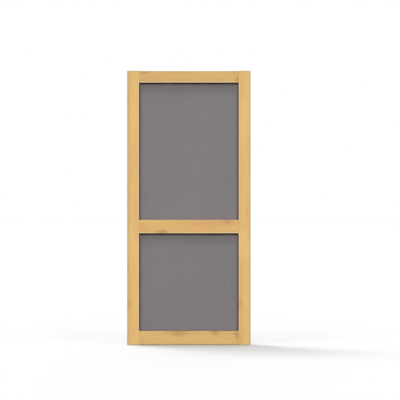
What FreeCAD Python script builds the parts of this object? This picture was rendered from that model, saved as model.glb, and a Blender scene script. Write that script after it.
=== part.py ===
import FreeCAD, Part
import os
from FreeCAD import Vector

# Wooden screen door leaf: two stiles, three rails, two screens and their beads.
# Millimetres. X runs across the leaf from its hinge edge, Y through its thickness
# from the front face to the back face, and Z up from its bottom edge.

# Leaf
LEAF_WIDTH = 914.4
LEAF_HEIGHT = 2032.0
LEAF_THICKNESS = 28.6

# Face widths of the boards, and the height of the lock rail's middle
STILE_WIDTH = 88.9
TOP_RAIL_WIDTH = 86.5
LOCK_RAIL_WIDTH = 100.0
BOTTOM_RAIL_WIDTH = 103.0
LOCK_RAIL_HEIGHT = 877.5

# How far the stiles' ends stand beyond the top rail and the bottom rail
STILE_HORN = 2.0

# Rounded arrises: in front round each opening, and along the leaf's upright edges
SIGHT_EDGE_RADIUS = 2.5
OUTER_EDGE_RADIUS = 1.6

# Blind mortise and tenon joints
TENON_THICKNESS = 9.5
TENON_TO_REBATE = 5.0
TENON_TO_LEAF_END = 25.0
TENON_CLEARANCE = 0.1
MORTISE_TO_LEAF_EDGE = 26.0
MORTISE_END_ROOM = 2.0

# Rebate behind each opening, and the screen cloth that lies on its floor
REBATE_WIDTH = 14.0
REBATE_DEPTH = 9.5
SCREEN_THICKNESS = 0.6
SCREEN_TRIM = 1.0

# Beads that close the rebates, flush with the back face
BEAD_CLEARANCE = 0.3
BEAD_SETBACK = 1.0
BEAD_NOSE_RADIUS = 5.5

# Lengths closer than this are the same
TOLERANCE = 1e-6

# Planes and heights that follow from those sizes
FRONT = -LEAF_THICKNESS / 2
BACK = LEAF_THICKNESS / 2
REBATE_FLOOR = BACK - REBATE_DEPTH
LEFT_SIGHT = STILE_WIDTH
RIGHT_SIGHT = LEAF_WIDTH - STILE_WIDTH
LOCK_RAIL_LOW = LOCK_RAIL_HEIGHT - LOCK_RAIL_WIDTH / 2
LOCK_RAIL_HIGH = LOCK_RAIL_HEIGHT + LOCK_RAIL_WIDTH / 2
TOP_RAIL_HIGH = LEAF_HEIGHT - STILE_HORN
TOP_RAIL_LOW = TOP_RAIL_HIGH - TOP_RAIL_WIDTH
BOTTOM_RAIL_HIGH = STILE_HORN + BOTTOM_RAIL_WIDTH
TENON_LENGTH = STILE_WIDTH - MORTISE_TO_LEAF_EDGE - MORTISE_END_ROOM
TENON_SHOULDER = REBATE_WIDTH + TENON_TO_REBATE

# Each opening's sill and head
OPENINGS = {
    "lower": (BOTTOM_RAIL_HIGH, LOCK_RAIL_LOW),
    "upper": (LOCK_RAIL_HIGH, TOP_RAIL_LOW),
}

# Each rail's lower and upper edge, and those of its tenons
RAILS = {
    "bottom_rail": (
        STILE_HORN,
        BOTTOM_RAIL_HIGH,
        TENON_TO_LEAF_END,
        BOTTOM_RAIL_HIGH - TENON_SHOULDER,
    ),
    "lock_rail": (
        LOCK_RAIL_LOW,
        LOCK_RAIL_HIGH,
        LOCK_RAIL_LOW + TENON_SHOULDER,
        LOCK_RAIL_HIGH - TENON_SHOULDER,
    ),
    "top_rail": (
        TOP_RAIL_LOW,
        TOP_RAIL_HIGH,
        TOP_RAIL_LOW + TENON_SHOULDER,
        LEAF_HEIGHT - TENON_TO_LEAF_END,
    ),
}


def block(x_low, x_high, y_low, y_high, z_low, z_high):
    """A rectangular solid between two corners."""
    corner = Vector(x_low, y_low, z_low)
    return Part.makeBox(x_high - x_low, y_high - y_low, z_high - z_low, corner)


def opening_block(sill, head, margin, y_low, y_high):
    """The space of an opening, grown by a margin all round."""
    return block(
        LEFT_SIGHT - margin,
        RIGHT_SIGHT + margin,
        y_low,
        y_high,
        sill - margin,
        head + margin,
    )


def is_at(value, wanted):
    return abs(value - wanted) < TOLERANCE


def frame_blank():
    """The five boards as one panel, with its openings, rebates and rounded arrises."""
    panel = block(0.0, LEAF_WIDTH, FRONT, BACK, 0.0, LEAF_HEIGHT)
    for sill, head in OPENINGS.values():
        panel = panel.cut(opening_block(sill, head, 0.0, FRONT, BACK))
        panel = panel.cut(opening_block(sill, head, REBATE_WIDTH, REBATE_FLOOR, BACK))
    sight_edges = []
    outer_edges = []
    for edge in panel.Edges:
        box = edge.BoundBox
        in_front = is_at(box.YMin, FRONT) and is_at(box.YMax, FRONT)
        upright = is_at(box.XLength, 0.0) and is_at(box.YLength, 0.0)
        on_outer_edge = is_at(box.XMin, 0.0) or is_at(box.XMax, LEAF_WIDTH)
        if upright and on_outer_edge:
            outer_edges.append(edge)
        elif in_front and not on_outer_edge:
            sight_edges.append(edge)
    panel = panel.makeFillet(OUTER_EDGE_RADIUS, outer_edges)
    return panel.makeFillet(SIGHT_EDGE_RADIUS, sight_edges)


def tenon_blocks(low, high, growth, end_room):
    """A rail's left and right tenons, or with growth and end room, their mortises."""
    reach = TENON_LENGTH + end_room
    half_thickness = TENON_THICKNESS / 2 + growth
    left = block(
        LEFT_SIGHT - reach,
        LEFT_SIGHT,
        -half_thickness,
        half_thickness,
        low - growth,
        high + growth,
    )
    right = left.mirror(Vector(LEAF_WIDTH / 2, 0.0, 0.0), Vector(1.0, 0.0, 0.0))
    return left, right


def stile(panel, x_low, x_high):
    """An upright board, with a mortise for each rail."""
    board = panel.common(block(x_low, x_high, FRONT, BACK, 0.0, LEAF_HEIGHT))
    for _, _, tenon_low, tenon_high in RAILS.values():
        for mortise in tenon_blocks(tenon_low, tenon_high, TENON_CLEARANCE, MORTISE_END_ROOM):
            board = board.cut(mortise)
    return board


def rail(panel, low, high, tenon_low, tenon_high):
    """A cross board between the stiles, with a tenon at each end."""
    board = panel.common(block(LEFT_SIGHT, RIGHT_SIGHT, FRONT, BACK, low, high))
    for tenon in tenon_blocks(tenon_low, tenon_high, 0.0, 0.0):
        board = board.fuse(tenon)
    return board


def screen(sill, head):
    """A sheet of screen cloth on the rebate's floor, trimmed short of its walls."""
    margin = REBATE_WIDTH - SCREEN_TRIM
    return opening_block(sill, head, margin, REBATE_FLOOR, REBATE_FLOOR + SCREEN_THICKNESS)


def bead_bar(length, width, thickness):
    """A straight bead along X, rounded on its inner arris and mitred at both ends.

    Its outer side is at z = 0, its width goes up and its thickness towards the back."""
    nose = min(BEAD_NOSE_RADIUS, thickness, width)
    bend = nose * (1.0 - 0.5 ** 0.5)
    start = -length / 2
    seat_low = Vector(start, 0.0, 0.0)
    seat_high = Vector(start, 0.0, width)
    nose_start = Vector(start, thickness - nose, width)
    nose_middle = Vector(start, thickness - bend, width - bend)
    nose_end = Vector(start, thickness, width - nose)
    back_low = Vector(start, thickness, 0.0)
    section = [Part.makeLine(back_low, seat_low), Part.makeLine(seat_low, seat_high)]
    if nose < thickness:
        section.append(Part.makeLine(seat_high, nose_start))
    section.append(Part.Arc(nose_start, nose_middle, nose_end).toShape())
    if nose < width:
        section.append(Part.makeLine(nose_end, back_low))
    bar = Part.Face(Part.Wire(section)).extrude(Vector(length, 0.0, 0.0))
    plan = Part.makePolygon(
        [
            Vector(start, 0.0, 0.0),
            Vector(-start, 0.0, 0.0),
            Vector(-start - width, 0.0, width),
            Vector(start + width, 0.0, width),
            Vector(start, 0.0, 0.0),
        ]
    )
    return bar.common(Part.Face(plan).extrude(Vector(0.0, thickness, 0.0)))


def beads(sill, head):
    """The four beads of an opening, by the side of it that they lie on."""
    room = 2 * (REBATE_WIDTH - BEAD_CLEARANCE)
    across = RIGHT_SIGHT - LEFT_SIGHT + room
    upright = head - sill + room
    width = REBATE_WIDTH - BEAD_CLEARANCE - BEAD_SETBACK
    thickness = REBATE_DEPTH - SCREEN_THICKNESS
    middle = Vector(LEAF_WIDTH / 2, REBATE_FLOOR + SCREEN_THICKNESS, (sill + head) / 2)
    turns = {
        "bottom": (0.0, across, upright),
        "left": (90.0, upright, across),
        "top": (180.0, across, upright),
        "right": (270.0, upright, across),
    }
    made = {}
    for side, (angle, length, spread) in turns.items():
        bar = bead_bar(length, width, thickness)
        bar.translate(Vector(0.0, 0.0, -spread / 2))
        bar.rotate(Vector(0.0, 0.0, 0.0), Vector(0.0, 1.0, 0.0), angle)
        bar.translate(middle)
        made[side] = bar
    return made


def door_pieces():
    """Every piece of the leaf, by its name."""
    panel = frame_blank()
    pieces = {
        "left_stile": stile(panel, 0.0, LEFT_SIGHT),
        "right_stile": stile(panel, RIGHT_SIGHT, LEAF_WIDTH),
    }
    for name, edges in RAILS.items():
        pieces[name] = rail(panel, *edges)
    for place, (sill, head) in OPENINGS.items():
        pieces[f"{place}_screen"] = screen(sill, head)
        for side, bead in beads(sill, head).items():
            pieces[f"{place}_bead_{side}"] = bead
    return pieces


os.makedirs("parts", exist_ok=True)
for name, piece in door_pieces().items():
    solid = piece.removeSplitter().Solids[0]
    solid.exportStep(f"parts/{name}.step")
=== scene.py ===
import math
import random
from collections import namedtuple

import bpy
import numpy as np
from bpy.props import FloatProperty, FloatVectorProperty, IntProperty, PointerProperty
from bpy.types import Operator, Panel, PropertyGroup
from mathutils import Euler, Matrix, Vector


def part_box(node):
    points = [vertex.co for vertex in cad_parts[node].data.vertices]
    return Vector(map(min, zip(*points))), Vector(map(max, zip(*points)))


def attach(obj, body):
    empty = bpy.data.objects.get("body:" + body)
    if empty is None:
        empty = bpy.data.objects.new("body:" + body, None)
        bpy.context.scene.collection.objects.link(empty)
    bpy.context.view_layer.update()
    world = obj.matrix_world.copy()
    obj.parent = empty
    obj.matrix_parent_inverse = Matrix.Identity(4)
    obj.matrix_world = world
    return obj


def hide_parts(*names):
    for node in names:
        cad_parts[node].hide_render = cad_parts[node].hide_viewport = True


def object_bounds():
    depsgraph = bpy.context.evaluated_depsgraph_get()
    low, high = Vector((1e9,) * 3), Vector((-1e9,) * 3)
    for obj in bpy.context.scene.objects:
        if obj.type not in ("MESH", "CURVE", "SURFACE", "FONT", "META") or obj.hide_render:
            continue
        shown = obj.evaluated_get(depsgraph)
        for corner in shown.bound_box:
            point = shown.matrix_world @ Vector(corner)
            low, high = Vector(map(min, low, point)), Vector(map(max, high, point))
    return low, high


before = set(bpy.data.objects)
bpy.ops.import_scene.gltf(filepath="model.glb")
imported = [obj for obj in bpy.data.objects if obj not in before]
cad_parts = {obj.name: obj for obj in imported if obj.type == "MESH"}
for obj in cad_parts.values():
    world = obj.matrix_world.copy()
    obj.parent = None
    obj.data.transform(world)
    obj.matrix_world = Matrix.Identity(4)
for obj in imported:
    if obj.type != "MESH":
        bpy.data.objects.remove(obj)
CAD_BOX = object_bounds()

bl_info = {
    "name": "Wooden Screen Door",
    "version": (1, 0, 0),
    "blender": (4, 5, 0),
    "location": "3D View > Sidebar > Screen Door",
    "description": "Dresses a pine screen door leaf: grain, knots, woven screens, brads and a studio",
    "category": "Object",
}

BODY = "root"
MILLIMETRE = 0.001
SEED = 36

# The boards' axes: along the grain, across the face and through the thickness
UPRIGHT = ("Z", "X", "Y")
LEVEL = ("X", "Z", "Y")

# A soft patch on a board's face: its middle and half sizes in metres of the leaf's frame,
# and its strength
Patch = namedtuple("Patch", "along across half_length half_width strength")

# A board: its node and axes, its middle seen across and through from the tree's middle, its lean
# to the tree in radians, its tint, its knots and its pinkish or, below zero, yellowish patches
Board = namedtuple("Board", "node axes pith lean tint knots blushes")

STILES = (
    Board(
        node="left_stile",
        axes=UPRIGHT,
        pith=(0.058, 0.046),
        lean=(0.0, 0.006, 0.004),
        tint=(1.0, 1.0, 1.0),
        knots=(
            Patch(0.308, 0.004, 0.062, 0.030, 0.60),
            Patch(1.447, 0.050, 0.040, 0.016, 0.15),
            Patch(1.017, 0.068, 0.036, 0.014, 0.15),
        ),
        blushes=(
            Patch(0.720, 0.020, 0.260, 0.090, -1.0),
            Patch(1.660, 0.030, 0.240, 0.090, -0.5),
            Patch(1.330, 0.020, 0.200, 0.050, 0.7),
            Patch(0.300, 0.010, 0.340, 0.030, 0.3),
            Patch(0.300, 0.055, 0.220, 0.036, -0.8),
        ),
    ),
    Board(
        node="right_stile",
        axes=UPRIGHT,
        pith=(0.060, 0.048),
        lean=(0.0, -0.005, 0.005),
        tint=(1.0, 1.0, 1.0),
        knots=(
            Patch(0.312, 0.831, 0.062, 0.036, 0.55),
            Patch(1.447, 0.880, 0.040, 0.016, 0.15),
            Patch(0.994, 0.884, 0.036, 0.014, 0.18),
        ),
        blushes=(
            Patch(0.740, 0.840, 0.240, 0.090, -1.2),
            Patch(1.680, 0.860, 0.220, 0.090, -0.5),
            Patch(1.910, 0.835, 0.180, 0.050, 0.9),
            Patch(1.320, 0.840, 0.200, 0.050, 0.9),
            Patch(0.240, 0.836, 0.340, 0.028, 0.4),
            Patch(0.300, 0.875, 0.220, 0.036, -0.8),
        ),
    ),
)

RAILS = (
    Board(
        node="top_rail",
        axes=LEVEL,
        pith=(0.020, 0.060),
        lean=(0.0, -0.016, -0.010),
        tint=(0.885, 0.89, 0.845),
        knots=(
            Patch(0.822, 1.962, 0.032, 0.062, 1.0),
            Patch(0.125, 2.030, 0.120, 0.034, 1.0),
        ),
        blushes=(
            Patch(0.170, 1.985, 0.160, 0.070, 0.3),
            Patch(0.560, 1.995, 0.260, 0.060, -0.5),
        ),
    ),
    Board(
        node="lock_rail",
        axes=LEVEL,
        pith=(-0.018, 0.070),
        lean=(0.0, -0.024, 0.012),
        tint=(0.945, 0.905, 0.885),
        knots=(
            Patch(0.258, 0.836, 0.072, 0.034, 0.90),
            Patch(0.745, 0.916, 0.066, 0.036, 0.62),
        ),
        blushes=(
            Patch(0.250, 0.905, 0.260, 0.070, -1.2),
            Patch(0.640, 0.900, 0.240, 0.060, 0.8),
            Patch(0.810, 0.850, 0.060, 0.040, -0.5),
        ),
    ),
    Board(
        node="bottom_rail",
        axes=LEVEL,
        pith=(0.024, 0.065),
        lean=(0.0, 0.006, 0.008),
        tint=(0.92, 0.925, 0.965),
        knots=(
            Patch(0.382, 0.106, 0.122, 0.064, 0.85),
            Patch(0.654, 0.106, 0.066, 0.054, 0.85),
            Patch(0.822, 0.084, 0.052, 0.056, 0.95),
        ),
        blushes=(
            Patch(0.260, 0.040, 0.240, 0.060, -0.6),
            Patch(0.570, 0.040, 0.240, 0.070, -0.6),
            Patch(0.720, 0.012, 0.220, 0.044, -1.0),
        ),
    ),
)

SCREENS = ("upper", "lower")

# Each bead's axes, and the way from the rebate's wall to the opening
BEAD_SIDES = {
    "bottom": (LEVEL, 1.0),
    "left": (UPRIGHT, 1.0),
    "top": (LEVEL, -1.0),
    "right": (UPRIGHT, -1.0),
}

# Ranges that each bead's place in the tree, lean and tint are drawn from
BEAD_PITH_ACROSS = (-0.03, 0.03)
BEAD_PITH_THROUGH = (0.04, 0.09)
BEAD_LEAN = (-0.02, 0.02)
BEAD_TINT = (0.93, 1.02)

# Noise in the pine: bumps per metre along, across and through a board
RING_BENDS = (1.3, 9.0, 9.0)
STREAKS = (3.0, 210.0, 210.0)
FIBRES = (18.0, 1300.0, 1300.0)
CLOUDS = (2.2, 13.0, 13.0)
BLUSH_CLOUDS = (1.7, 8.0, 5.0)
KNOT_OUTLINE = (30.0, 45.0, 30.0)

# Noise on the cloth and the brads: bumps per metre across and along a strand, of dust and of spots
YARN_ACROSS = 700.0
YARN_ALONG = 6.0
CLOTH_DUST = (2.5, 2.5, 2.5)
STEEL_SPOTS = (900.0, 900.0, 900.0)

# The middle of a noise's three values
NOISE_MIDDLE = (0.5, 0.5, 0.5)

# Rings: the width that noise bends them over, the width over which the heartwood fades out, and a
# year's darkness from its first wood to its last
BEND_WIDTH = 16.0 * MILLIMETRE
HEART_FADE = 25.0 * MILLIMETRE
YEAR = ((0.0, 0.10), (0.40, 0.16), (0.86, 0.95), (0.95, 0.90), (1.0, 0.10))

# Knots: their push on the ring lines, their outline from round to pointed, their own rings and how
# those show, and the strength of a knot's heart beside its stain
KNOT_PUSH = 12.0 * MILLIMETRE
KNOT_POINT = 0.75
KNOT_RINGS = 42.0
KNOT_RING_SHADE = 0.12
KNOT_HEART = 0.5

# Colours of wear, dirt, painted highlight and painted shade on the wood, of the painted shade at the
# screens' borders, and of the brads
RUBBED_AND_HIGHLIT_COLOUR = (0.80, 0.635, 0.42)
DUST_AND_SHADE_COLOUR = (0.42, 0.34, 0.23)
GRIME_AND_SHADE_COLOUR = (0.42, 0.34, 0.25)
SEAM_COLOUR = (0.12, 0.06, 0.02)
REVEAL_SHADE_COLOUR = (0.10, 0.055, 0.02)
BORDER_SHADE_COLOUR = (0.035, 0.02, 0.008)
STEEL_COLOUR = (0.42, 0.40, 0.37)
SPOT_COLOUR = (0.20, 0.17, 0.14)

# A band along an edge: its distances in millimetres from the edge where it ends and where it is
# full, and its full strength
Band = namedtuple("Band", "far close strength")

# Bands on the wood: pale round the openings, from wear and painted highlight; grey along the leaf's
# rim; painted contact shade at its base; and a painted shade line at the rails' foot
RUBBED_AND_HIGHLIT_BAND = Band(12.0, 3.0, 1.0)
EDGE_GRIME = Band(18.0, 4.0, 0.5)
END_GRIME = Band(11.0, 4.0, 0.5)
BASE_SHADE = Band(9.0, 3.0, 0.3)
FOOT_SHADE = Band(9.0, 4.0, 0.35)

# Bands of painted shade on the screens: a faint one and a dark one under the heads, and two more along
# all the wood
HEAD_SHADE = Band(120.0, 15.0, 0.18)
HEAD_LINE = Band(9.8, 6.5, 1.0)
WOOD_SHADE = Band(22.0, 3.0, 0.5)
WOOD_LINE = Band(6.0, 2.5, 0.95)

# How many times wider the dark band of painted shade is under the lock rail than under the top rail
LOCK_RAIL_LINE = 1.88

# How strongly end grain darkens, faces that look up get dust and painted shade, and the wood is made
# paler by wear and painted highlight: along the stiles, at the sills and the heads, and by wear alone
# on the arrises
END_GRAIN = 0.45
DUST_AND_SHADE = 0.4
RUBBED_AND_HIGHLIT_STILE = 0.6
RUBBED_AND_HIGHLIT_SILL = 0.1
RUBBED_AND_HIGHLIT_HEAD = 0.9
RUBBED_ARRIS = 0.3

# The painted shade on the openings' narrow sides: how far off the outline it reaches, how dark it is at
# the front and at the screen, and how much an arris that looks up counts as part of the front face
REVEAL_REACH = 3.0 * MILLIMETRE
REVEAL_FRONT = 0.92
REVEAL_SCREEN = 0.95
SILL_LIFT = 0.28

# How far the glue lines reach to each side, at a rail's shoulders and at a bead's mitres
SHOULDER_SEAM = 0.5 * MILLIMETRE
MITRE_SEAM = 0.6 * MILLIMETRE

# Edges sharper than this stay square in the pieces made here
SQUARE_EDGE = math.radians(80.0)

# A lamp, in degrees: its place to the right of straight in front and up, its width and height as
# the leaf sees them, and its turn about the line to the leaf
Lamp = namedtuple("Lamp", "name azimuth elevation width height roll", defaults=(0.0,))

LAMPS = (
    Lamp("front", azimuth=0.0, elevation=26.0, width=6.0, height=20.0),
    Lamp("high", azimuth=0.0, elevation=62.0, width=10.0, height=40.0),
    Lamp("over", azimuth=-109.3, elevation=84.0, width=2.5, height=16.0, roll=19.4),
    Lamp("left", azimuth=-74.0, elevation=56.0, width=16.0, height=24.0),
    Lamp("right", azimuth=74.0, elevation=55.0, width=16.0, height=24.0),
    Lamp("back", azimuth=-109.3, elevation=64.6, width=8.0, height=24.0, roll=20.6),
    Lamp("rear", azimuth=180.0, elevation=0.0, width=2.0, height=2.0),
)

# The stage: the lamps' distance, the floor's half width and depth under the leaf, and the
# furthest that the camera sees
LAMP_DISTANCE = 2000.0
FLOOR_REACH = 30.0
FLOOR_DROP = 0.5 * MILLIMETRE
CAMERA_REACH = 200.0

# What settings of one kind share
COLOUR = {"subtype": "COLOR", "size": 3, "min": 0.0, "max": 1.0}
LENGTH = {"subtype": "DISTANCE", "unit": "LENGTH"}


class PineProperties(PropertyGroup):
    """Colours and figure of the pine boards and beads."""

    spring_colour: FloatVectorProperty(
        name="Spring Wood",
        description="Pale wood between the ring lines",
        default=(0.762, 0.508, 0.178),
        **COLOUR,
    )
    summer_colour: FloatVectorProperty(
        name="Summer Wood",
        description="Darker wood of the ring lines",
        default=(0.60, 0.345, 0.108),
        **COLOUR,
    )
    blush_colour: FloatVectorProperty(
        name="Blush",
        description="Pinkish patches that run with the grain",
        default=(0.716, 0.420, 0.166),
        **COLOUR,
    )
    heart_colour: FloatVectorProperty(
        name="Heartwood",
        description="Wood near the tree's middle",
        default=(0.62, 0.38, 0.15),
        **COLOUR,
    )
    flare_colour: FloatVectorProperty(
        name="Knot Flare",
        description="Stained wood round a knot",
        default=(0.565, 0.315, 0.122),
        **COLOUR,
    )
    knot_colour: FloatVectorProperty(
        name="Knot",
        description="Wood of a knot",
        default=(0.40, 0.19, 0.055),
        **COLOUR,
    )
    ring_spacing: FloatProperty(
        name="Ring Spacing",
        description="Distance between two ring lines, measured from the tree's middle",
        min=0.001,
        default=0.0042,
        **LENGTH,
    )
    heart_radius: FloatProperty(
        name="Heartwood Radius",
        description="Distance from the tree's middle to where the heartwood ends",
        min=0.0,
        default=0.035,
        **LENGTH,
    )
    relief: FloatProperty(
        name="Grain Relief",
        description="Height of the planed grain",
        min=0.0,
        default=0.00025,
        **LENGTH,
    )


class ScreenProperties(PropertyGroup):
    """Weave and colour of the screen cloth."""

    pitch: FloatProperty(
        name="Strand Pitch",
        description="Distance between the middles of two strands",
        min=0.0005,
        default=0.00127,
        **LENGTH,
    )
    strand_width: FloatProperty(
        name="Strand Width",
        description="Width of a coated strand, seen from the front",
        min=0.0001,
        default=0.00122,
        **LENGTH,
    )
    strand_depth: FloatProperty(
        name="Strand Depth",
        description="Thickness of a coated strand",
        min=0.0001,
        default=0.00034,
        **LENGTH,
    )
    strand_sides: IntProperty(
        name="Strand Sides",
        description="Faces round a strand",
        min=4,
        default=8,
    )
    colour: FloatVectorProperty(
        name="Cloth Colour",
        description="Coating of the strands",
        default=(0.208, 0.191, 0.189),
        **COLOUR,
    )


class BradProperties(PropertyGroup):
    """The small nails that hold the beads."""

    head_diameter: FloatProperty(
        name="Head Diameter",
        description="Diameter of a brad's head",
        min=0.0005,
        default=0.0021,
        **LENGTH,
    )
    head_height: FloatProperty(
        name="Head Height",
        description="How far a head stands out of the bead",
        min=0.0,
        default=0.0003,
        **LENGTH,
    )
    from_wall: FloatProperty(
        name="Distance From Wall",
        description="Distance of the brads from the rebate's wall",
        min=0.001,
        default=0.0042,
        **LENGTH,
    )
    from_corner: FloatProperty(
        name="Distance From Corner",
        description="Distance of the first brad from the bead's end",
        min=0.005,
        default=0.032,
        **LENGTH,
    )
    spacing: FloatProperty(
        name="Spacing",
        description="Largest distance between two brads",
        min=0.02,
        default=0.16,
        **LENGTH,
    )


class StageProperties(PropertyGroup):
    """Floor, lights and camera."""

    floor_colour: FloatVectorProperty(
        name="Floor",
        description="Pale floor of the studio, as the camera sees it",
        default=(0.452, 0.452, 0.452),
        **COLOUR,
    )
    bounce_colour: FloatVectorProperty(
        name="Floor Bounce",
        description="Light that the floor throws back on the leaf",
        default=(0.04, 0.04, 0.04),
        **COLOUR,
    )
    camera_distance: FloatProperty(
        name="Camera Distance",
        description="Distance from the leaf's front face to the camera",
        min=1.0,
        default=5.0,
        **LENGTH,
    )
    view_width: FloatProperty(
        name="View Width",
        description="Width that the picture takes in at the leaf's front face",
        min=0.5,
        default=2.9626,
        **LENGTH,
    )
    aim_across: FloatProperty(
        name="Aim Across",
        description="Distance of the camera's axis to the right of the leaf's middle",
        default=0.0826,
        **LENGTH,
    )
    aim_up: FloatProperty(
        name="Aim Up",
        description="Distance of the camera's axis above the leaf's middle",
        default=0.0589,
        **LENGTH,
    )
    sky_strength: FloatProperty(
        name="Sky Strength",
        description="Even light from all round",
        min=0.0,
        default=0.62,
    )
    front_strength: FloatProperty(
        name="Front Light",
        description="Soft box straight in front of the leaf and above it",
        min=0.0,
        default=1.735,
    )
    high_strength: FloatProperty(
        name="High Light",
        description="Tall soft box high above the leaf's front",
        min=0.0,
        default=0.8,
    )
    over_strength: FloatProperty(
        name="Overhead Light",
        description="Thin strip right above the leaf",
        min=0.0,
        default=0.95,
    )
    left_strength: FloatProperty(
        name="Left Light",
        description="Soft strip to the left of the leaf's front",
        min=0.0,
        default=0.62,
    )
    right_strength: FloatProperty(
        name="Right Light",
        description="Soft strip to the right of the leaf's front",
        min=0.0,
        default=0.5,
    )
    back_strength: FloatProperty(
        name="Back Light",
        description="Soft strip to the left and a little behind, laid along the leaf",
        min=0.0,
        default=2.1,
    )
    rear_strength: FloatProperty(
        name="Rear Light",
        description="Level soft box straight behind the leaf, which lights its back and not the floor",
        min=0.0,
        default=1.4,
    )


class ScreenDoorProperties(PropertyGroup):
    """All settings of the screen door."""

    pine: PointerProperty(type=PineProperties)
    screen: PointerProperty(type=ScreenProperties)
    brads: PointerProperty(type=BradProperties)
    stage: PointerProperty(type=StageProperties)


class ShaderSketch:
    """Adds nodes to a shader tree, with sockets or plain values as their inputs."""

    def __init__(self, tree):
        self.tree = tree
        tree.nodes.clear()

    def node(self, kind, inputs=None, **settings):
        made = self.tree.nodes.new(kind)
        for name, value in settings.items():
            setattr(made, name, value)
        self.join_all(inputs or {}, made)
        return made

    def join(self, value, socket):
        if isinstance(value, bpy.types.NodeSocket):
            self.tree.links.new(value, socket)
        else:
            socket.default_value = value

    def join_all(self, values, node):
        """Joins values to a node's inputs, by the inputs' names or numbers."""
        for key, value in values.items():
            self.join(value, node.inputs[key])

    def math(self, operation, *values, clamp=False):
        inputs = dict(enumerate(values))
        return self.node("ShaderNodeMath", inputs, operation=operation, use_clamp=clamp).outputs[0]

    def vector(self, operation, *values):
        made = self.node("ShaderNodeVectorMath", dict(enumerate(values)), operation=operation)
        return made.outputs["Value" if operation in ("LENGTH", "DOT_PRODUCT") else "Vector"]

    def seen(self, coordinate="Object"):
        """The place of a point of the surface, or its normal."""
        return self.node("ShaderNodeTexCoord").outputs[coordinate]

    def parts(self, vector):
        """A vector's X, Y and Z."""
        return self.node("ShaderNodeSeparateXYZ", {0: vector}).outputs

    def shaded(self, colour, shade):
        """A colour made lighter or darker by a number."""
        made = self.node("ShaderNodeVectorMath", {0: colour, "Scale": shade}, operation="SCALE")
        return made.outputs["Vector"]

    def stretched_noise(self, place, stretch, detail=2.0, roughness=0.5):
        """Noise with so many bumps per metre along each axis."""
        stretched = self.vector("MULTIPLY", place, stretch)
        inputs = {"Vector": stretched, "Scale": 1.0, "Detail": detail, "Roughness": roughness}
        return self.node("ShaderNodeTexNoise", inputs).outputs

    def spread(self, value, low, high, to_low=0.0, to_high=1.0):
        """A value mapped smoothly from one range to another, and held at its ends."""
        inputs = {
            "Value": value,
            "From Min": low,
            "From Max": high,
            "To Min": to_low,
            "To Max": to_high,
        }
        return self.node("ShaderNodeMapRange", inputs, interpolation_type="SMOOTHSTEP").outputs[0]

    def band(self, distance, band):
        """A band's strength at a distance from its edge."""
        far, close = band.far * MILLIMETRE, band.close * MILLIMETRE
        return self.spread(distance, far, close, 0.0, band.strength)

    def distance(self, value, wanted):
        """How far a value is from the wanted one."""
        return self.math("ABSOLUTE", self.math("SUBTRACT", value, wanted))

    def near(self, value, wanted, reach):
        """One where a value equals the wanted one, falling to zero within a reach of it."""
        return self.spread(self.distance(value, wanted), reach, 0.0)

    def mix(self, share, first, second):
        """The first colour, with a share of the second."""
        made = self.node("ShaderNodeMix", data_type="RGBA")
        self.join(share, made.inputs["Factor"])
        for name, value in (("A", first), ("B", second)):
            socket = next(s for s in made.inputs if s.name == name and s.type == "RGBA")
            self.join(value, socket)
        return next(s for s in made.outputs if s.type == "RGBA")

    def group(self, tree, inputs=None):
        """The outputs of a shader group."""
        return self.node("ShaderNodeGroup", inputs, node_tree=tree).outputs

    def surface(self, inputs):
        """Finishes a material, with these inputs to its shader."""
        shader = self.node("ShaderNodeBsdfPrincipled", inputs)
        self.node("ShaderNodeOutputMaterial", {"Surface": shader.outputs[0]})


def opaque(colour):
    """A colour setting as a shader's colour."""
    return (*colour, 1.0)


def new_material(name):
    material = bpy.data.materials.new(name)
    material.use_nodes = True
    return material, ShaderSketch(material.node_tree)


def new_group(name, inputs, outputs):
    """A shader group with named sockets, its sketch, what it is given and its output node."""
    group = bpy.data.node_groups.new(name, "ShaderNodeTree")
    for direction, sockets in (("INPUT", inputs), ("OUTPUT", outputs)):
        for socket, kind in sockets.items():
            group.interface.new_socket(name=socket, in_out=direction, socket_type=f"NodeSocket{kind}")
    sketch = ShaderSketch(group)
    return group, sketch, sketch.node("NodeGroupInput").outputs, sketch.node("NodeGroupOutput")


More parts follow.
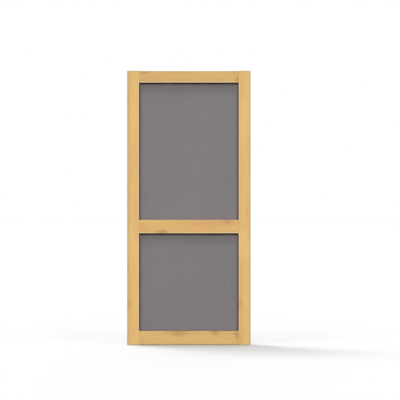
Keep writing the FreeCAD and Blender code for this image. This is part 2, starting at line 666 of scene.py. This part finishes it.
def patch_group():
    """A knot: its heart, the stain round it and its push on the ring lines, or a soft cloud instead."""
    group, sketch, given, result = new_group(
        "Patch",
        {"Place": "Vector", "Middle": "Vector", "Half Size": "Vector"},
        {"Heart": "Float", "Halo": "Float", "Push": "Float", "Cloud": "Float"},
    )

    # Distance from the middle in half sizes, with an uneven outline between round and pointed
    place = given["Place"]
    wander = sketch.stretched_noise(place, KNOT_OUTLINE)["Color"]
    wobble = sketch.vector("SUBTRACT", wander, NOISE_MIDDLE)
    offset = sketch.vector("SUBTRACT", place, given["Middle"])
    scaled = sketch.vector("DIVIDE", offset, given["Half Size"])
    shaken = sketch.vector("ADD", scaled, sketch.vector("MULTIPLY", wobble, (0.5, 0.5, 0.0)))
    flat = sketch.vector("MULTIPLY", shaken, (1.0, 1.0, 0.0))
    round_distance = sketch.vector("LENGTH", flat)
    lozenge_distance = sketch.vector("DOT_PRODUCT", sketch.vector("ABSOLUTE", flat), (1.0, 1.0, 0.0))
    pointed = sketch.math("SUBTRACT", lozenge_distance, round_distance)
    distance = sketch.math("MULTIPLY_ADD", pointed, KNOT_POINT, round_distance)

    growth = sketch.math("SINE", sketch.math("MULTIPLY", round_distance, KNOT_RINGS))
    ringed = sketch.math("MULTIPLY_ADD", growth, KNOT_RING_SHADE, 1.0 - KNOT_RING_SHADE)
    fall = sketch.math("EXPONENT", sketch.math("MULTIPLY", sketch.math("POWER", distance, 2.0), -2.5))
    outputs = {
        "Heart": sketch.math("MULTIPLY", sketch.spread(distance, 0.5, 0.1), ringed),
        "Halo": sketch.spread(distance, 1.05, 0.45),
        "Push": sketch.math("MULTIPLY", fall, KNOT_PUSH),
        "Cloud": sketch.spread(distance, 1.05, 0.3),
    }
    sketch.join_all(outputs, result)
    return group


def sight_group():
    """Where a point lies: its distance from the nearest opening's outline, outside and inside it,
    its height in that opening from -1 at the sill to 1 at the head, its distance below that head
    and from the opening's sides, and its distance from the leaf's upright edges, from its nearer
    end and above its base."""
    group, sketch, _, result = new_group(
        "Sight Lines",
        {},
        dict.fromkeys(("Outside", "Inside", "Rise", "Below", "Beside", "Edge", "End", "Base"), "Float"),
    )
    at = sketch.parts(sketch.seen())

    left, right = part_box("left_stile")[1][0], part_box("right_stile")[0][0]
    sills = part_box("bottom_rail")[1][2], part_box("lock_rail")[1][2]
    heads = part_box("lock_rail")[0][2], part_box("top_rail")[0][2]
    middles = [(sill + head) / 2 for sill, head in zip(sills, heads)]
    halves = [(head - sill) / 2 for sill, head in zip(sills, heads)]
    upper = sketch.math("GREATER_THAN", at["Z"], (sills[1] + heads[0]) / 2)
    middle = sketch.math("MULTIPLY_ADD", upper, middles[1] - middles[0], middles[0])
    half = sketch.math("MULTIPLY_ADD", upper, halves[1] - halves[0], halves[0])

    rise = sketch.math("SUBTRACT", at["Z"], middle)
    beyond = (
        sketch.math("SUBTRACT", sketch.distance(at["X"], (left + right) / 2), (right - left) / 2),
        sketch.math("SUBTRACT", sketch.math("ABSOLUTE", rise), half),
    )
    outside = [sketch.math("POWER", sketch.math("MAXIMUM", gap, 0.0), 2.0) for gap in beyond]
    inside = sketch.math("MULTIPLY", sketch.math("MAXIMUM", *beyond), -1.0)
    rims = []
    for axis, low, high in zip("XZ", *((corner[0], corner[2]) for corner in CAD_BOX)):
        from_middle = sketch.distance(at[axis], (low + high) / 2)
        rims.append(sketch.math("SUBTRACT", (high - low) / 2, from_middle))
    edge, end = rims

    outputs = {
        "Outside": sketch.math("SQRT", sketch.math("ADD", *outside)),
        "Inside": sketch.math("MAXIMUM", inside, 0.0),
        "Rise": sketch.math("DIVIDE", rise, half),
        "Below": sketch.math("SUBTRACT", half, rise),
        "Beside": sketch.math("MULTIPLY", beyond[0], -1.0),
        "Edge": edge,
        "End": end,
        "Base": sketch.math("SUBTRACT", at["Z"], CAD_BOX[0][2]),
    }
    sketch.join_all(outputs, result)
    return group


def pine_group(pine):
    """Flat-sawn pine: ring lines round the tree's middle, fibres, patches and knots."""
    numbers = ("Blush", "Heart", "Halo", "Push", "End", "Rubbed", "Grime", "Dust", "Seam", "Reveal")
    group, sketch, given, result = new_group(
        "Pine",
        dict.fromkeys(("Place", "Pith", "Lean", "Tint"), "Vector") | dict.fromkeys(numbers, "Float"),
        {"Colour": "Color", "Roughness": "Float", "Height": "Float"},
    )
    place = given["Place"]
    halo = given["Halo"]

    # Ring lines: the distance from the tree's middle, bent by slow noise and by knots
    bend = sketch.stretched_noise(place, RING_BENDS, detail=3.0)["Color"]
    bent = sketch.vector("SUBTRACT", bend, NOISE_MIDDLE)
    bent = sketch.vector("MULTIPLY", bent, (0.0, BEND_WIDTH, BEND_WIDTH))
    in_tree = sketch.node(
        "ShaderNodeMapping",
        {"Vector": place, "Location": given["Pith"], "Rotation": given["Lean"]},
    )
    from_pith = sketch.vector("ADD", in_tree.outputs[0], bent)
    from_pith = sketch.vector("LENGTH", sketch.vector("MULTIPLY", from_pith, (0.0, 1.0, 1.0)))
    from_pith = sketch.math("ADD", from_pith, given["Push"])
    heartwood = sketch.spread(from_pith, pine.heart_radius + HEART_FADE, pine.heart_radius)
    season = sketch.math("FRACT", sketch.math("DIVIDE", from_pith, pine.ring_spacing))
    ramp = sketch.node("ShaderNodeValToRGB", {"Fac": season})
    shape_year(ramp.color_ramp)
    summer = ramp.outputs["Color"]

    # Fibres and streaks along the grain
    streak = sketch.stretched_noise(place, STREAKS, detail=4.0, roughness=0.6)[0]
    fibre = sketch.stretched_noise(place, FIBRES)[0]
    cloud = sketch.stretched_noise(place, CLOUDS)[0]
    blush = sketch.stretched_noise(place, BLUSH_CLOUDS, detail=1.0)["Color"]

    # Colour of the wood, its patches and its knots
    line = sketch.math("MULTIPLY", summer, sketch.spread(streak, 0.25, 0.75, 0.25, 0.65))
    colour = sketch.mix(line, opaque(pine.spring_colour), opaque(pine.summer_colour))
    colour = sketch.mix(sketch.math("MULTIPLY", heartwood, 0.8), colour, opaque(pine.heart_colour))
    red = sketch.node("ShaderNodeSeparateColor", {"Color": blush}).outputs["Green"]
    red = sketch.math("ADD", sketch.spread(red, 0.40, 0.66, 0.1, 0.7), given["Blush"])
    colour = sketch.mix(sketch.spread(red, 0.0, -1.0, 0.0, 0.8), colour, opaque(pine.spring_colour))
    colour = sketch.mix(sketch.math("MAXIMUM", red, 0.0, clamp=True), colour, opaque(pine.blush_colour))
    shade = sketch.spread(cloud, 0.3, 0.7, 0.965, 1.035)
    shade = sketch.math("MULTIPLY", shade, sketch.spread(fibre, 0.3, 0.7, 0.96, 1.03))
    colour = sketch.vector("MULTIPLY", sketch.shaded(colour, shade), given["Tint"])
    colour = sketch.mix(halo, colour, opaque(pine.flare_colour))
    colour = sketch.mix(given["Heart"], colour, opaque(pine.knot_colour))

    # Wear and dirt, with painted highlight round the openings and painted shade on upward faces, at the
    # leaf's foot and round the openings
    # Paler wood: wear on the arrises, and wear with painted highlight round the openings
    rubbed_and_highlit = sketch.math("MULTIPLY", given["Rubbed"], sketch.spread(streak, 0.3, 0.6, 0.7, 1.0))
    rubbed_and_highlit = sketch.math("MULTIPLY", rubbed_and_highlit, sketch.math("MULTIPLY_ADD", halo, -0.5, 1.0))
    colour = sketch.mix(rubbed_and_highlit, colour, opaque(RUBBED_AND_HIGHLIT_COLOUR))
    colour = sketch.mix(given["End"], colour, opaque(pine.summer_colour))
    colour = sketch.mix(given["Dust"], colour, opaque(DUST_AND_SHADE_COLOUR))
    # Grey along the rim, and painted contact shade at the base
    grime_and_shade = sketch.math("MULTIPLY", given["Grime"], sketch.spread(cloud, 0.3, 0.6, 0.7, 1.0))
    colour = sketch.mix(grime_and_shade, colour, opaque(GRIME_AND_SHADE_COLOUR))
    colour = sketch.mix(given["Seam"], colour, opaque(SEAM_COLOUR))
    colour = sketch.mix(given["Reveal"], colour, opaque(REVEAL_SHADE_COLOUR))

    # Finish: the hard ring lines stand a little proud and shine a little more
    gloss = sketch.math("MULTIPLY_ADD", summer, -0.12, 0.64)
    height = sketch.math("MULTIPLY_ADD", summer, 0.45, sketch.math("MULTIPLY", fibre, 0.4))
    height = sketch.math("MULTIPLY_ADD", streak, 0.5, height)
    outputs = {
        "Colour": colour,
        "Roughness": sketch.math("MULTIPLY_ADD", fibre, 0.10, gloss),
        "Height": sketch.math("SUBTRACT", height, given["Seam"]),
    }
    sketch.join_all(outputs, result)
    return group


def shape_year(ramp):
    """A year's ring: pale for its first half, then darkening to a line that ends sharply."""
    ramp.interpolation = "EASE"
    while len(ramp.elements) < len(YEAR):
        ramp.elements.new(1.0)
    for element, (position, value) in zip(ramp.elements, YEAR):
        element.position = position
        element.color = (value, value, value, 1.0)


def board_place(sketch, low, high, axes):
    """A point seen from the board's middle, as one vector and as along, across and through."""
    middle = tuple((Vector(low) + Vector(high)) / 2)
    apart = sketch.parts(sketch.vector("SUBTRACT", sketch.seen(), middle))
    parts = [apart[axis] for axis in axes]
    place = sketch.node("ShaderNodeCombineXYZ", dict(enumerate(parts))).outputs[0]
    return place, parts


def soft_patch(sketch, patches, place, patch, middle):
    """The outputs of a patch on a board whose middle is given as along, across and through."""
    inputs = {
        "Place": place,
        "Middle": (patch.along - middle[0], patch.across - middle[1], 0.0),
        "Half Size": (patch.half_length, patch.half_width, 1.0),
    }
    return sketch.group(patches, inputs)


def rubbed_and_highlit_edge(sketch, sight, arris, upright):
    """Paler wood on the arrises, from wear, and round the openings, from wear and painted highlight,
    most at the heads, whose arrises look down, and least at the sills.
    """
    strength = RUBBED_AND_HIGHLIT_STILE
    if not upright:
        strength = sketch.spread(sight["Rise"], -0.5, 0.5, RUBBED_AND_HIGHLIT_SILL, RUBBED_AND_HIGHLIT_HEAD)
    edge = sketch.math("MULTIPLY", sketch.band(sight["Outside"], RUBBED_AND_HIGHLIT_BAND), strength)
    return sketch.math("MAXIMUM", edge, sketch.math("MULTIPLY", arris, RUBBED_ARRIS))


def rim_grime_and_shade(sketch, sight):
    """Wood greyed by hands and weather along the leaf's rim, and darkest at its base, where painted
    contact shade is added.
    """
    edge = sketch.band(sight["Edge"], EDGE_GRIME)
    end = sketch.band(sight["End"], END_GRIME)
    base = sketch.band(sight["Base"], BASE_SHADE)
    return sketch.math("ADD", sketch.math("MAXIMUM", edge, end), base)


def painted_reveal_shade(sketch, sight, frontal, through):
    """Painted shade on the boards' narrow sides round the openings, deeper towards the screen, and on
    the arrises beside them, more at the heads, whose arrises look down, than at the sills."""
    on_outline = sketch.math("MAXIMUM", sight["Outside"], sight["Inside"])
    on_outline = sketch.math("LESS_THAN", on_outline, REVEAL_REACH)
    sideways = sketch.math("MULTIPLY", on_outline, sketch.spread(frontal, 0.99, 0.82))
    front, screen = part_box("left_stile")[0][1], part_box("upper_screen")[0][1]
    depth = sketch.spread(through, front, screen, REVEAL_FRONT, REVEAL_SCREEN)
    return sketch.math("MULTIPLY", sideways, depth)


def pine_finish(board, groups, pine, shoulders=(), inward=0.0):
    """Material of one board or bead, with its own cut from the tree, knots, ends and arrises.

    A rail's shoulders get a glue line and its foot a painted shade line, and the mitres of a bead,
    whose inner side lies inward, get a glue line too."""
    patches, sights, wood = groups
    low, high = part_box(board.node)
    order = ["XYZ".index(axis) for axis in board.axes]
    middle = [(high[i] + low[i]) / 2 for i in order]
    half = [(high[i] - low[i]) / 2 for i in order]
    material, sketch = new_material(f"{board.node}_pine")
    place, (along, across, through) = board_place(sketch, low, high, board.axes)

    heart = halo = push = blush = 0.0
    for knot in board.knots:
        made = soft_patch(sketch, patches, place, knot, middle)
        heart = sketch.math("MULTIPLY_ADD", made["Heart"], KNOT_HEART * knot.strength, heart)
        halo = sketch.math("MULTIPLY_ADD", made["Halo"], knot.strength, halo)
        push = sketch.math("ADD", made["Push"], push)
    for patch in board.blushes:
        made = soft_patch(sketch, patches, place, patch, middle)
        blush = sketch.math("MULTIPLY_ADD", made["Cloud"], patch.strength, blush)

    seam = 0.0
    for shoulder in shoulders:
        seam = sketch.math("ADD", sketch.near(along, shoulder - middle[0], SHOULDER_SEAM), seam)
    if inward:
        slant = sketch.math("MULTIPLY_ADD", across, inward, sketch.math("ABSOLUTE", along))
        seam = sketch.near(slant, half[0] - half[1], MITRE_SEAM)

    normal = sketch.seen("Normal")
    upward = sketch.parts(normal)["Z"]
    facing = sketch.parts(sketch.vector("ABSOLUTE", normal))
    squarest = sketch.math("MAXIMUM", facing["X"], sketch.math("MAXIMUM", facing["Y"], facing["Z"]))
    arris = sketch.spread(squarest, 0.99, 0.86)
    sight = sketch.group(sights)
    frontal = sketch.math("MULTIPLY_ADD", upward, SILL_LIFT, facing["Y"])
    # Painted shade round the openings and, on the rails, along their foot
    painted_shade = painted_reveal_shade(sketch, sight, frontal, through)
    if shoulders:
        painted_shade = sketch.math("MAXIMUM", painted_shade, sketch.band(sight["Base"], FOOT_SHADE))

    inputs = {
        "Place": place,
        "Pith": (0.0, *board.pith),
        "Lean": board.lean,
        "Tint": board.tint,
        "Blush": blush,
        "Heart": heart,
        "Halo": halo,
        "Push": push,
        "End": sketch.spread(facing[board.axes[0]], 0.6, 0.9, 0.0, END_GRAIN),
        "Rubbed": rubbed_and_highlit_edge(sketch, sight, arris, board.axes == UPRIGHT),
        "Grime": rim_grime_and_shade(sketch, sight),
        # Dust and painted shade on faces that look up
        "Dust": sketch.spread(upward, 0.6, 0.95, 0.0, DUST_AND_SHADE),
        "Seam": seam,
        "Reveal": painted_shade,
    }
    made = sketch.group(wood, inputs)
    bump = sketch.node(
        "ShaderNodeBump",
        {"Height": made["Height"], "Strength": 0.8, "Distance": pine.relief},
    )
    sketch.surface(
        {
            "Base Color": made["Colour"],
            "Roughness": made["Roughness"],
            "Normal": bump.outputs[0],
            "Specular IOR Level": 0.25,
        }
    )
    return material


def dress_node(node, material):
    """Gives a node of the frame its finish."""
    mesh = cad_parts[node].data
    mesh.materials.clear()
    mesh.materials.append(material)


def wood_groups(pine):
    """The shader groups that every piece of pine shares, made once."""
    names = ("Patch", "Sight Lines", "Pine")
    if not all(name in bpy.data.node_groups for name in names):
        return patch_group(), sight_group(), pine_group(pine)
    return tuple(bpy.data.node_groups[name] for name in names)


def add_object(name, data):
    made = bpy.data.objects.new(name, data)
    bpy.context.scene.collection.objects.link(made)
    return made


def add_mesh(name, points, faces, material):
    """A new piece that rides on the leaf, shaded smoothly except at its square ends."""
    mesh = bpy.data.meshes.new(name)
    mesh.from_pydata(points, [], faces)
    mesh.shade_smooth()
    mesh.set_sharp_from_angle(angle=SQUARE_EDGE)
    mesh.materials.append(material)
    piece = add_object(name, mesh)
    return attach(piece, BODY) or piece


def strand_points(start, end, across, through, sides):
    """Two rings of points, round both ends of a flattened strand."""
    points = []
    for middle in (start, end):
        for turn in np.arange(sides) * math.tau / sides + math.pi / sides:
            points.append(middle + across * math.cos(turn) + through * math.sin(turn))
    return points


def strand_faces(first, sides):
    """Faces of a strand whose points start at the given number, closed at both ends."""
    near_end = list(range(first, first + sides))
    far_end = list(range(first + sides, first + 2 * sides))
    faces = [tuple(reversed(near_end)), tuple(far_end)]
    for i in range(sides):
        j = (i + 1) % sides
        faces.append((near_end[i], near_end[j], far_end[j], far_end[i]))
    return faces


def strands(low, high, upright, plane, screen):
    """Points and faces of one set of parallel strands that fill a screen's outline."""
    run, step = (2, 0) if upright else (0, 2)
    count = int((high[step] - low[step]) / screen.pitch)
    first = (low[step] + high[step] - (count - 1) * screen.pitch) / 2
    across = np.zeros(3)
    across[step] = screen.strand_width / 2
    through = np.array((0.0, screen.strand_depth / 2, 0.0))
    points, faces = [], []
    for number in range(count):
        start = np.array((low[0], plane, low[2]))
        start[step] = first + number * screen.pitch
        end = start.copy()
        end[run] = high[run]
        faces += strand_faces(len(points), screen.strand_sides)
        points += strand_points(start, end, across, through, screen.strand_sides)
    return points, faces


def screen_shade(sketch, sight):
    """Painted shade on the screens along the wood round them, widest under the lock rail."""
    low, high = (corner[2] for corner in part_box("lock_rail"))
    wider = sketch.spread(sight["Base"], low, high, LOCK_RAIL_LINE, 1.0)
    from_head = sketch.math("DIVIDE", sight["Below"], wider)
    from_wood = sketch.math("MINIMUM", sight["Beside"], sight["Below"])
    bands = (
        (sight["Below"], HEAD_SHADE),
        (from_head, HEAD_LINE),
        (from_wood, WOOD_SHADE),
        (from_wood, WOOD_LINE),
    )
    border_shade = 0.0
    for distance, band in bands:
        border_shade = sketch.math("MAXIMUM", border_shade, sketch.band(distance, band))
    return border_shade


def cloth_finish(name, screen, sights, upright):
    """Coated yarn: matt grey, a little uneven from strand to strand, dipping under each crossing."""
    material, sketch = new_material(name)
    seen = sketch.seen()
    at = sketch.parts(seen)
    run, step = ("Z", "X") if upright else ("X", "Z")
    yarn = (YARN_ACROSS, 1.0, YARN_ALONG) if upright else (YARN_ALONG, 1.0, YARN_ACROSS)
    uneven = sketch.stretched_noise(seen, yarn, detail=1.0)[0]
    dust = sketch.stretched_noise(seen, CLOTH_DUST, detail=3.0)[0]
    shade = sketch.spread(uneven, 0.3, 0.7, 0.92, 1.08)
    shade = sketch.math("ADD", shade, sketch.spread(dust, 0.3, 0.7, -0.015, 0.015))
    colour = sketch.shaded(tuple(screen.colour), shade)
    # Painted shade on the cloth along the wood round each screen
    border_shade = screen_shade(sketch, sketch.group(sights))
    number = sketch.math("ROUND", sketch.math("DIVIDE", at[step], screen.pitch))
    crossing = sketch.math("DIVIDE", at[run], screen.pitch)
    wave = sketch.math("COSINE", sketch.math("MULTIPLY", sketch.math("ADD", number, crossing), math.pi))
    bump = sketch.node(
        "ShaderNodeBump",
        {"Height": wave, "Strength": 0.5, "Distance": screen.strand_depth / 4},
    )
    sketch.surface(
        {
            "Base Color": sketch.mix(border_shade, colour, opaque(BORDER_SHADE_COLOUR)),
            "Roughness": sketch.spread(uneven, 0.3, 0.7, 0.55, 0.7),
            "Normal": bump.outputs[0],
            "Specular IOR Level": 0.3,
        }
    )
    return material


def steel_finish():
    """Dull steel of the brads, spotted with grey."""
    material, sketch = new_material("brad_steel")
    spots = sketch.stretched_noise(sketch.seen(), STEEL_SPOTS, detail=3.0)[0]
    spotted = sketch.spread(spots, 0.35, 0.7)
    sketch.surface(
        {
            "Base Color": sketch.mix(spotted, opaque(STEEL_COLOUR), opaque(SPOT_COLOUR)),
            "Roughness": sketch.spread(spots, 0.3, 0.7, 0.35, 0.6),
            "Metallic": 1.0,
        }
    )
    return material


def brad_head(middle, radius, height, first, sides=12, rings=3):
    """Points and faces of one domed head on a face that looks towards +Y."""
    points, faces = [], []
    for ring in range(rings):
        rise = math.sin(0.5 * math.pi * ring / rings)
        reach = math.cos(0.5 * math.pi * ring / rings)
        for turn in np.arange(sides) * math.tau / sides:
            around = Vector((math.cos(turn), 0.0, math.sin(turn))) * radius * reach
            points.append(middle + around + Vector((0.0, height * rise, 0.0)))
    points.append(middle + Vector((0.0, height, 0.0)))
    for ring in range(rings - 1):
        for i in range(sides):
            j = (i + 1) % sides
            low, high = first + ring * sides, first + (ring + 1) * sides
            faces.append((low + i, high + i, high + j, low + j))
    top, crown = first + (rings - 1) * sides, first + rings * sides
    for i in range(sides):
        faces.append((top + i, crown, top + (i + 1) % sides))
    faces.append(tuple(range(first, first + sides)))
    return points, faces


def even_places(low, high, largest_step):
    """Places from low to high, evenly spaced and no further apart than the largest step."""
    steps = math.ceil((high - low) / largest_step)
    return [low + (high - low) * i / steps for i in range(steps + 1)]


def seen_directly(sketch):
    """One for rays from the camera, a mirror or glass, and zero for light that bounces."""
    path = sketch.node("ShaderNodeLightPath")
    seen = path.outputs["Is Camera Ray"]
    for name in ("Is Glossy Ray", "Is Transmission Ray"):
        seen = sketch.math("MAXIMUM", seen, path.outputs[name])
    return seen


def lay_floor(stage):
    """A wide pale floor just under the leaf, white in the picture apart from shadows."""
    turns = ((-1, -1), (1, -1), (1, 1), (-1, 1))
    corners = [(FLOOR_REACH * x, FLOOR_REACH * y, -FLOOR_DROP) for x, y in turns]
    mesh = bpy.data.meshes.new("floor")
    mesh.from_pydata(corners, [], [(0, 1, 2, 3)])
    floor = add_object("floor", mesh)
    material, sketch = new_material("floor_paint")
    bounced = sketch.node("ShaderNodeBsdfDiffuse", {"Color": opaque(stage.bounce_colour)})
    seen = sketch.node("ShaderNodeBsdfDiffuse", {"Color": opaque(stage.floor_colour)})
    both = sketch.node(
        "ShaderNodeMixShader",
        {0: seen_directly(sketch), 1: bounced.outputs[0], 2: seen.outputs[0]},
    )
    sketch.node("ShaderNodeOutputMaterial", {"Surface": both.outputs[0]})
    mesh.materials.append(material)


def light_world(stage):
    """Even light from all round, white where the camera looks past the floor."""
    world = bpy.data.worlds.new("studio")
    bpy.context.scene.world = world
    world.use_nodes = True
    sketch = ShaderSketch(world.node_tree)
    strength = sketch.spread(seen_directly(sketch), 0.0, 1.0, stage.sky_strength, 1.0)
    sky = sketch.node("ShaderNodeBackground", {"Color": (1.0, 1.0, 1.0, 1.0), "Strength": strength})
    sketch.node("ShaderNodeOutputWorld", {"Surface": sky.outputs[0]})


def hang_lamp(lamp, strength):
    """A soft box far from the leaf and aimed at it, with the strength of the light that arrives."""
    name = f"{lamp.name}_light"
    light = bpy.data.lights.new(name, "AREA")
    light.shape = "RECTANGLE"
    light.size = 2.0 * LAMP_DISTANCE * math.tan(math.radians(lamp.width / 2))
    light.size_y = 2.0 * LAMP_DISTANCE * math.tan(math.radians(lamp.height / 2))
    light.energy = strength * math.pi * LAMP_DISTANCE**2
    aim = Euler((math.radians(90.0 - lamp.elevation), 0.0, math.radians(lamp.azimuth))).to_matrix()
    aim = aim @ Matrix.Rotation(math.radians(lamp.roll), 3, "Z")
    hung = add_object(name, light)
    hung.rotation_euler = aim.to_euler()
    hung.location = aim @ Vector((0.0, 0.0, LAMP_DISTANCE))


def aim_camera(stage):
    """A level camera, square to the leaf's front face."""
    low, high = (Vector(corner) for corner in CAD_BOX)
    middle = (low + high) / 2
    lens = bpy.data.cameras.new("camera")
    lens.lens = lens.sensor_width * stage.camera_distance / stage.view_width
    lens.clip_end = CAMERA_REACH
    camera = add_object("camera", lens)
    camera.location = middle + Vector((stage.aim_across, 0.0, stage.aim_up))
    camera.location.y = low.y - stage.camera_distance
    camera.rotation_euler = (math.radians(90.0), 0.0, 0.0)
    bpy.context.scene.camera = camera


class SCREENDOOR_OT_finish_stiles(Operator):
    """Gives each stile its pine finish, cut from its own place in the tree"""

    bl_idname = "screendoor.finish_stiles"
    bl_label = "Finish Stiles"

    def execute(self, context):
        pine = context.scene.screen_door.pine
        for board in STILES:
            dress_node(board.node, pine_finish(board, wood_groups(pine), pine))
        return {"FINISHED"}


class SCREENDOOR_OT_finish_rails(Operator):
    """Gives each rail its pine finish, with a glue line at each shoulder"""

    bl_idname = "screendoor.finish_rails"
    bl_label = "Finish Rails"

    def execute(self, context):
        pine = context.scene.screen_door.pine
        shoulders = (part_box("left_stile")[1][0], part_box("right_stile")[0][0])
        for board in RAILS:
            dress_node(board.node, pine_finish(board, wood_groups(pine), pine, shoulders))
        return {"FINISHED"}


class SCREENDOOR_OT_finish_beads(Operator):
    """Gives each screen bead its pine finish, cut from its own strip, with a line at each mitre"""

    bl_idname = "screendoor.finish_beads"
    bl_label = "Finish Beads"

    def execute(self, context):
        pine = context.scene.screen_door.pine
        chance = random.Random(SEED)
        for place in SCREENS:
            for side, (axes, inward) in BEAD_SIDES.items():
                board = Board(
                    node=f"{place}_bead_{side}",
                    axes=axes,
                    pith=(chance.uniform(*BEAD_PITH_ACROSS), chance.uniform(*BEAD_PITH_THROUGH)),
                    lean=(0.0, chance.uniform(*BEAD_LEAN), chance.uniform(*BEAD_LEAN)),
                    tint=[chance.uniform(*BEAD_TINT)] * 3,
                    knots=(),
                    blushes=(),
                )
                dress_node(board.node, pine_finish(board, wood_groups(pine), pine, inward=inward))
        return {"FINISHED"}


class SCREENDOOR_OT_weave_screens(Operator):
    """Weaves each screen from upright and level strands, stretched in its rebate"""

    bl_idname = "screendoor.weave_screens"
    bl_label = "Weave Screens"

    def execute(self, context):
        screen = context.scene.screen_door.screen
        sights = wood_groups(context.scene.screen_door.pine)[1]
        warp_finish = cloth_finish("screen_warp", screen, sights, upright=True)
        weft_finish = cloth_finish("screen_weft", screen, sights, upright=False)
        for place in SCREENS:
            node = f"{place}_screen"
            low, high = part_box(node)
            middle = (low[1] + high[1]) / 2
            layer = (high[1] - low[1] - screen.strand_depth) / 2
            upright = strands(low, high, True, middle - layer, screen)
            level = strands(low, high, False, middle + layer, screen)
            warp = add_mesh(f"{node}_warp", *upright, warp_finish)
            weft = add_mesh(f"{node}_weft", *level, weft_finish)
            for piece in (warp, weft):
                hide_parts(node)
        return {"FINISHED"}


class SCREENDOOR_OT_drive_brads(Operator):
    """Drives a row of brads along each screen bead"""

    bl_idname = "screendoor.drive_brads"
    bl_label = "Drive Brads"

    def execute(self, context):
        brads = context.scene.screen_door.brads
        points, faces = [], []
        for place in SCREENS:
            for side, (axes, inward) in BEAD_SIDES.items():
                low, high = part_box(f"{place}_bead_{side}")
                along, across = ("XYZ".index(axis) for axis in axes[:2])
                wall = low[across] if inward > 0.0 else high[across]
                start, end = low[along] + brads.from_corner, high[along] - brads.from_corner
                for spot in even_places(start, end, brads.spacing):
                    middle = Vector((0.0, high[1], 0.0))
                    middle[along] = spot
                    middle[across] = wall + inward * brads.from_wall
                    made = brad_head(middle, brads.head_diameter / 2, brads.head_height, len(points))
                    points += made[0]
                    faces += made[1]
        add_mesh("bead_brads", points, faces, steel_finish())
        return {"FINISHED"}


class SCREENDOOR_OT_set_stage(Operator):
    """Lays the pale floor and sets the lights and the camera"""

    bl_idname = "screendoor.set_stage"
    bl_label = "Set Stage"

    def execute(self, context):
        stage = context.scene.screen_door.stage
        lay_floor(stage)
        light_world(stage)
        for lamp in LAMPS:
            hang_lamp(lamp, getattr(stage, f"{lamp.name}_strength"))
        aim_camera(stage)
        context.scene.view_settings.view_transform = "Standard"
        return {"FINISHED"}


class SCREENDOOR_PT_sidebar(Panel):
    """Lists the steps that dress the screen door"""

    bl_idname = "SCREENDOOR_PT_sidebar"
    bl_label = "Screen Door"
    bl_space_type = "VIEW_3D"
    bl_region_type = "UI"
    bl_category = "Screen Door"

    def draw(self, context):
        settings = context.scene.screen_door
        for name, steps in STEPS.items():
            group = getattr(settings, name)
            box = self.layout.box()
            box.label(text=name.title())
            for setting in group.__annotations__:
                box.prop(group, setting)
            for step in steps:
                box.operator(step.bl_idname)


PROPERTIES = (PineProperties, ScreenProperties, BradProperties, StageProperties, ScreenDoorProperties)

# The steps that use each group of settings
STEPS = {
    "pine": (SCREENDOOR_OT_finish_stiles, SCREENDOOR_OT_finish_rails, SCREENDOOR_OT_finish_beads),
    "screen": (SCREENDOOR_OT_weave_screens,),
    "brads": (SCREENDOOR_OT_drive_brads,),
    "stage": (SCREENDOOR_OT_set_stage,),
}
OPERATORS = [step for steps in STEPS.values() for step in steps]
CLASSES = (*PROPERTIES, *OPERATORS, SCREENDOOR_PT_sidebar)


def register():
    for each in CLASSES:
        bpy.utils.register_class(each)
    bpy.types.Scene.screen_door = PointerProperty(type=ScreenDoorProperties)


def unregister():
    del bpy.types.Scene.screen_door
    for each in reversed(CLASSES):
        bpy.utils.unregister_class(each)


def main():
    register()
    bpy.ops.screendoor.finish_stiles()
    bpy.ops.screendoor.finish_rails()
    bpy.ops.screendoor.finish_beads()
    bpy.ops.screendoor.weave_screens()
    bpy.ops.screendoor.drive_brads()
    bpy.ops.screendoor.set_stage()


if __name__ == "__main__":
    main()
